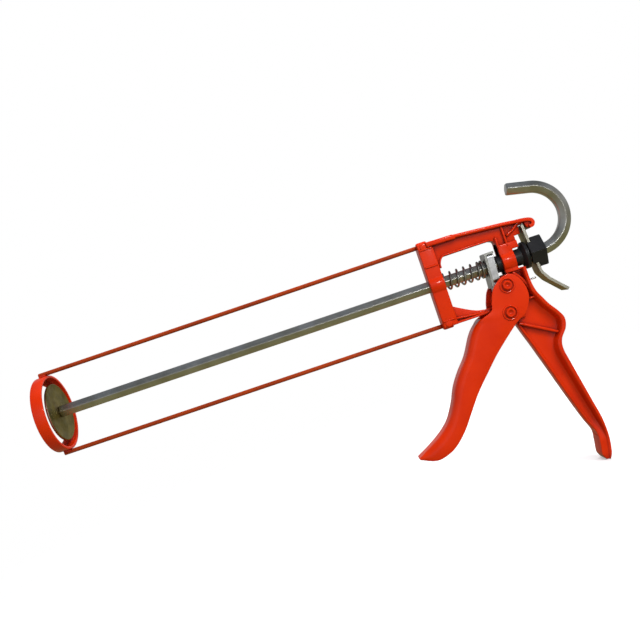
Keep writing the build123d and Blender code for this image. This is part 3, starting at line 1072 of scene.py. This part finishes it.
@dataclass
class Trigger(SubAssembly):
    """The pressed trigger with its raised rings and rivets."""

    inner: float = 8.3
    sheet: float = 1.5
    bend: float = 5.6
    head_bend: float = 0.5
    bend_steps: int = 6
    tip_narrowing: float = 0.42
    tip_share: float = 0.2
    open_above: float = -31.6
    open_over: float = 3.0
    pivot: Point = (45.5, -33.9)
    drive_pin: Point = (49.2, -15.5)
    raised_ring: Outline = ((-0.4, 3.9), (0.1, 4.0), (0.6, 4.4), (0.7, 4.8), (0.5, 5.2), (-0.4, 5.6))
    rivet_height: float = 1.7
    rivet_head: Outline = (
        (-1.25, 0), (-1.15, 0.9), (-0.7, 1.6), (-0.1, 2.1), (0, 2.4), (-0.15, 2.8), (-0.6, 3.15), (-1.2, 3.3),
        (-1.6, 3.3), (-1.6, 2.5),
    )
    rungs: tuple[Rung, ...] = (
        (46.4, -9.2, 52.2, -8.05), (42.2, -12, 55.9, -10), (38.2, -16.4, 59.3, -14.8),
        (35.3, -23.4, 61.2, -21.4), (33.2, -28.8, 60.6, -28.4), (24, -32.7, 55.4, -37),
        (16.4, -39.6, 47, -42), (8.1, -53, 30, -56),
        (0.3, -62.2, 18.6, -67.2), (-6, -71.2, 7.6, -78.8), (-11, -81.5, -1.4, -90.4), (-17, -91, -8.8, -100),
        (-23.4, -97.2, -17.4, -108.2), (-31, -102.3, -25.2, -112.4), (-38.2, -106.2, -34, -114),
        (-44.6, -109.8, -44.2, -110.6),
    )

    def section(self, front: Vector, rear: Vector, tip: float) -> list[Vector]:
        """The sheet's U-shaped section on one rung, from one free edge round the web to the other.

        Args:
            front: the rung's front end, as (x, z), where the web is.
            rear: its rear end, where the flanges end.
            tip: 0 over most of the length, rising to 1 at the trigger's tip.

        Returns:
            The section's points in metres.
        """
        width = (rear - front).length
        along = (rear - front) / width
        outer = (self.inner + self.sheet) * (1 - self.tip_narrowing * tip**3)
        above = min(1.0, max(0.0, (front.y - self.open_above) / self.open_over + 1))
        bend = min(self.bend * (1 - above) + self.head_bend * above, width * 0.6, outer * 0.8)
        stations = [(width, outer), ((width + bend) / 2, outer)]
        for step in range(self.bend_steps + 1):
            angle = math.radians(90 / self.bend_steps * step)
            stations.append((bend - bend * math.sin(angle), outer - bend + bend * math.cos(angle)))
        stations += [(0.0, (outer - bend) * part) for part in (0.66, 0.33)]
        points = [(front + along * reach, half) for reach, half in stations]
        left = [across(p.x, p.y, half) for p, half in points]
        right = [across(p.x, p.y, -half) for p, half in points[::-1]]
        return left + [across(front.x, front.y, 0)] + right

    def sheet_mesh(self) -> Mesh:
        """The pressed sheet's outer skin, open at the head, without its thickness.

        Returns:
            An open mesh.
        """
        mesh = bmesh.new()
        rungs = smooth_rungs(self.rungs, 6)
        rows: list[list[Vector]] = []
        for index, (front, rear) in enumerate(rungs):
            tip = max(0.0, (index / (len(rungs) - 1) - (1 - self.tip_share)) / self.tip_share)
            rows.append(self.section(front, rear, tip))
        bridge(mesh, rows, closed=False)
        flank = self.inner + self.sheet - 0.05
        head = [face for face in mesh.faces if face.calc_center_median().z > self.open_above * MM
                and abs(face.calc_center_median().y) < flank * MM]
        bmesh.ops.delete(mesh, geom=head, context="FACES")
        return mesh

    def thicken(self, piece: bpy.types.Object) -> None:
        """Gives the skin the sheet's thickness, inwards, and deburrs its edges.

        Args:
            piece: the trigger's piece.
        """
        outward = sum(face.normal.y * face.center.y for face in piece.data.polygons)
        wall = piece.modifiers.new("sheet thickness", "SOLIDIFY")
        wall.thickness = self.sheet * MM
        wall.offset = -1.0 if outward > 0 else 1.0
        wall.use_even_offset = True
        edge = piece.modifiers.new("deburred edge", "BEVEL")
        edge.width = 0.4 * MM
        edge.segments = 3
        edge.limit_method = "ANGLE"
        edge.angle_limit = math.radians(50)

    def rivet_mesh(self, centre: Point) -> Mesh:
        """One rivet with a dimpled head on each side."""
        tip = self.inner + self.sheet + self.rivet_height
        half = [(tip + lift, radius) for lift, radius in self.rivet_head]
        return lathe([(-along, radius) for along, radius in half] + half[::-1], across(*centre), ALONG_Y, 56)

    def build(self) -> None:
        """Builds the trigger, its raised rings and its two rivets."""
        paint = Slot.GLOSS_PAINT
        self.thicken(self.add_piece("trigger_pressing", self.sheet_mesh(), Body.TRIGGER, paint, "trigger"))
        seat = self.inner + self.sheet
        for name, centre in (("pivot", self.pivot), ("drive", self.drive_pin)):
            rings = bmesh.new()
            for side in (1, -1):
                profile = [(side * (seat + lift), radius) for lift, radius in self.raised_ring]
                join(rings, lathe(profile, across(*centre), ALONG_Y, 64, closed=True))
            self.add_piece(f"{name}_raised_rings", rings, Body.TRIGGER, paint)
            rivet = self.rivet_mesh(centre)
            self.add_piece(f"{name}_rivet_spun", rivet, Body.TRIGGER, paint, f"{name}_rivet")


@dataclass(frozen=True)
class Lamp:
    """One round lamp, aimed at the gun's middle.

    Attributes:
        name: its name.
        place: where it stands, in metres.
        size: its diameter in metres.
        power: its power in watts.
        mirrored: whether glossy surfaces show it.
    """

    name: str
    place: Triple
    size: float
    power: float
    mirrored: bool = False

    def build(self) -> None:
        """Hangs the lamp."""
        data = bpy.data.lights.new(self.name, "AREA")
        data.shape = "DISK"
        data.size = self.size
        data.energy = self.power
        lamp = bpy.data.objects.new(self.name, data)
        bpy.context.scene.collection.objects.link(lamp)
        spot = Vector(self.place)
        lamp.location = spot
        lamp.visible_glossy = self.mirrored
        lamp.rotation_euler = (across(0, -20) - spot).to_track_quat("-Z", "Y").to_euler()


@dataclass
class Studio:
    """Camera, lamps, floor and backdrop.

    Attributes:
        target: the point at the picture's centre, as (x, z).
        distance: from the camera to the target.
        swing: how far the camera is swung towards the hook, in degrees.
        roll: how far the rod rises to the right, in degrees.
        lens: the focal length.
        sensor: the sensor's width.
        floor_z: the height of the floor that the gun's lowest point touches.
        floor_centre: the floor's middle along X, in metres.
        floor_radius: its radius in metres.
        floor_fade: the distances from the origin over which it fades out, in metres.
        floor_shade: its grey.
        floor_glow: how strongly it shines by itself.
        lamps: the lamps.
        room: the room that metal reflects, as heights from 0 to 1 and colours.
    """

    target: Point = (-79.0, 2.8)
    distance: float = 505.0
    swing: float = 1.0
    roll: float = 18.65
    lens: float = 40.8
    sensor: float = 36
    floor_z: float = -150.6
    floor_centre: float = -0.08
    floor_radius: float = 0.75
    floor_fade: Point = (0.30, 0.62)
    floor_shade: float = 0.86
    floor_glow: float = 0.30
    lamps: tuple[Lamp, ...] = (
        Lamp("key", (0.75, -0.9, 0.9), 0.6, 13.0),
        Lamp("fill", (-0.5, -1.2, 0.2), 1.0, 2.0),
        Lamp("top", (0.15, 0.1, 1.1), 1.0, 6),
        Lamp("back", (0.1, 0.9, 0.4), 1.0, 6),
        Lamp("glint", (0.3, -1.15, 0.42), 0.2, 2.6, mirrored=True),
    )
    room: tuple[tuple[float, Triple], ...] = (
        (0.0, (0.28, 0.26, 0.13)), (0.30, (0.26, 0.245, 0.12)), (0.48, (0.30, 0.30, 0.28)),
        (0.60, (0.50, 0.50, 0.50)), (0.90, (0.10, 0.12, 0.145)), (1.0, (0.36, 0.39, 0.43)),
    )

    def place_camera(self) -> None:
        """Puts the camera where the gun is seen from."""
        data = bpy.data.cameras.new("camera")
        data.lens = self.lens
        data.sensor_width = self.sensor
        data.clip_start = 0.01
        camera = bpy.data.objects.new("camera", data)
        bpy.context.scene.collection.objects.link(camera)
        swing, roll = math.radians(self.swing), math.radians(self.roll)
        back = Vector((math.sin(swing), -math.cos(swing), 0))
        level = Vector((math.cos(swing), math.sin(swing), 0))
        upright = Vector((0, 0, 1))
        right = level * math.cos(roll) - upright * math.sin(roll)
        up = level * math.sin(roll) + upright * math.cos(roll)
        turn = Matrix((right, up, back)).transposed().to_4x4()
        camera.matrix_world = Matrix.Translation(across(*self.target) + back * self.distance * MM) @ turn
        bpy.context.scene.camera = camera

    def floor_material(self) -> Material:
        """A plain pale sheet that fades out with the distance from the gun.

        Returns:
            The material.
        """
        paper = bpy.data.materials.new("pale_floor")
        paper.use_nodes = True
        tree = paper.node_tree
        shader = tree.nodes["Principled BSDF"]
        shader.inputs["Base Color"].default_value = (self.floor_shade, self.floor_shade, self.floor_shade, 1)
        shader.inputs["Roughness"].default_value = 0.9
        shader.inputs["Emission Color"].default_value = (1, 1, 1, 1)
        shader.inputs["Emission Strength"].default_value = self.floor_glow
        patterns = Patterns(tree, tree.nodes.new("ShaderNodeTexCoord").outputs["Object"])
        reach = tree.nodes.new("ShaderNodeVectorMath")
        reach.operation = "LENGTH"
        tree.links.new(patterns.place, reach.inputs[0])
        fade = patterns.ramp(reach.outputs["Value"], self.floor_fade, (1.0, 0.0))
        fade.node.interpolation_type = "SMOOTHSTEP"
        tree.links.new(fade, shader.inputs["Alpha"])
        return paper

    def lay_floor(self) -> None:
        """Lays the floor under the gun, seen by the camera only."""
        mesh = bmesh.new()
        lowest = Matrix.Translation((self.floor_centre, 0, self.floor_z * MM))
        bmesh.ops.create_circle(mesh, cap_ends=True, segments=96, radius=self.floor_radius, matrix=lowest)
        data = bpy.data.meshes.new("floor")
        mesh.to_mesh(data)
        mesh.free()
        data.materials.append(self.floor_material())
        floor = bpy.data.objects.new("floor", data)
        bpy.context.scene.collection.objects.link(floor)
        floor.visible_diffuse = False
        floor.visible_glossy = False

    def light_world(self) -> None:
        """A white backdrop to the eye, and a softer shaded room in reflections."""
        world = bpy.data.worlds.new("studio")
        bpy.context.scene.world = world
        world.use_nodes = True
        tree = world.node_tree
        background = tree.nodes["Background"]
        background.inputs["Strength"].default_value = 1.0
        split = tree.nodes.new("ShaderNodeSeparateXYZ")
        tree.links.new(tree.nodes.new("ShaderNodeTexCoord").outputs["Generated"], split.inputs["Vector"])
        shades = tree.nodes.new("ShaderNodeValToRGB")
        elements = shades.color_ramp.elements
        while len(elements) < len(self.room):
            elements.new(0.5)
        for element, (height, colour) in zip(elements, self.room):
            element.position = height
            element.color = (*colour, 1)
        rise = tree.nodes.new("ShaderNodeMapRange")
        rise.inputs["From Min"].default_value = -1
        tree.links.new(split.outputs["Z"], rise.inputs["Value"])
        tree.links.new(rise.outputs["Result"], shades.inputs["Fac"])
        mix = tree.nodes.new("ShaderNodeMix")
        mix.data_type = "RGBA"
        mix.inputs["B"].default_value = (1, 1, 1, 1)
        tree.links.new(tree.nodes.new("ShaderNodeLightPath").outputs["Is Camera Ray"], mix.inputs["Factor"])
        tree.links.new(shades.outputs["Color"], mix.inputs["A"])
        tree.links.new(mix.outputs["Result"], background.inputs["Color"])

    def build(self) -> None:
        """Sets up the camera, the backdrop, the floor and the lamps."""
        self.place_camera()
        self.light_world()
        self.lay_floor()
        for lamp in self.lamps:
            lamp.build()
        bpy.context.scene.view_settings.view_transform = "Standard"


def dress_cad_nodes(finishes: Finishes) -> None:
    """Gives each CAD piece that is kept the finish of its material slot.

    Args:
        finishes: the material of each slot.
    """
    for part in frame["record"]["subparts"]:
        node = frame["nodes"][part["node"]]
        node.data.materials.clear()
        node.data.materials.append(finishes[Slot(part["material_slot"])])


def main() -> None:
    """Builds the gun's looks, sub-assembly by sub-assembly."""
    logging.basicConfig(level=logging.INFO, format="%(name)s: %(message)s")
    finishes = {finish.slot: finish.material() for finish in FINISHES}
    dress_cad_nodes(finishes)
    Casting(finishes).build()
    Cradle(finishes).build()
    Rod(finishes).build()
    Coil(finishes, "drive_spring", "drive_slide", start=5.6, end=40.2, radius=5.75, wire=0.75, turns=8.5,
         closed_turns=1.4, keep=0.64).build()
    Coil(finishes, "release_spring", "release_tilt", start=68.8, end=72.1, radius=7.2, wire=0.5, turns=2.5,
         closed_turns=0.8, keep=0.8).build()
    Trigger(finishes).build()
    Studio().build()


if __name__ == "__main__":
    main()
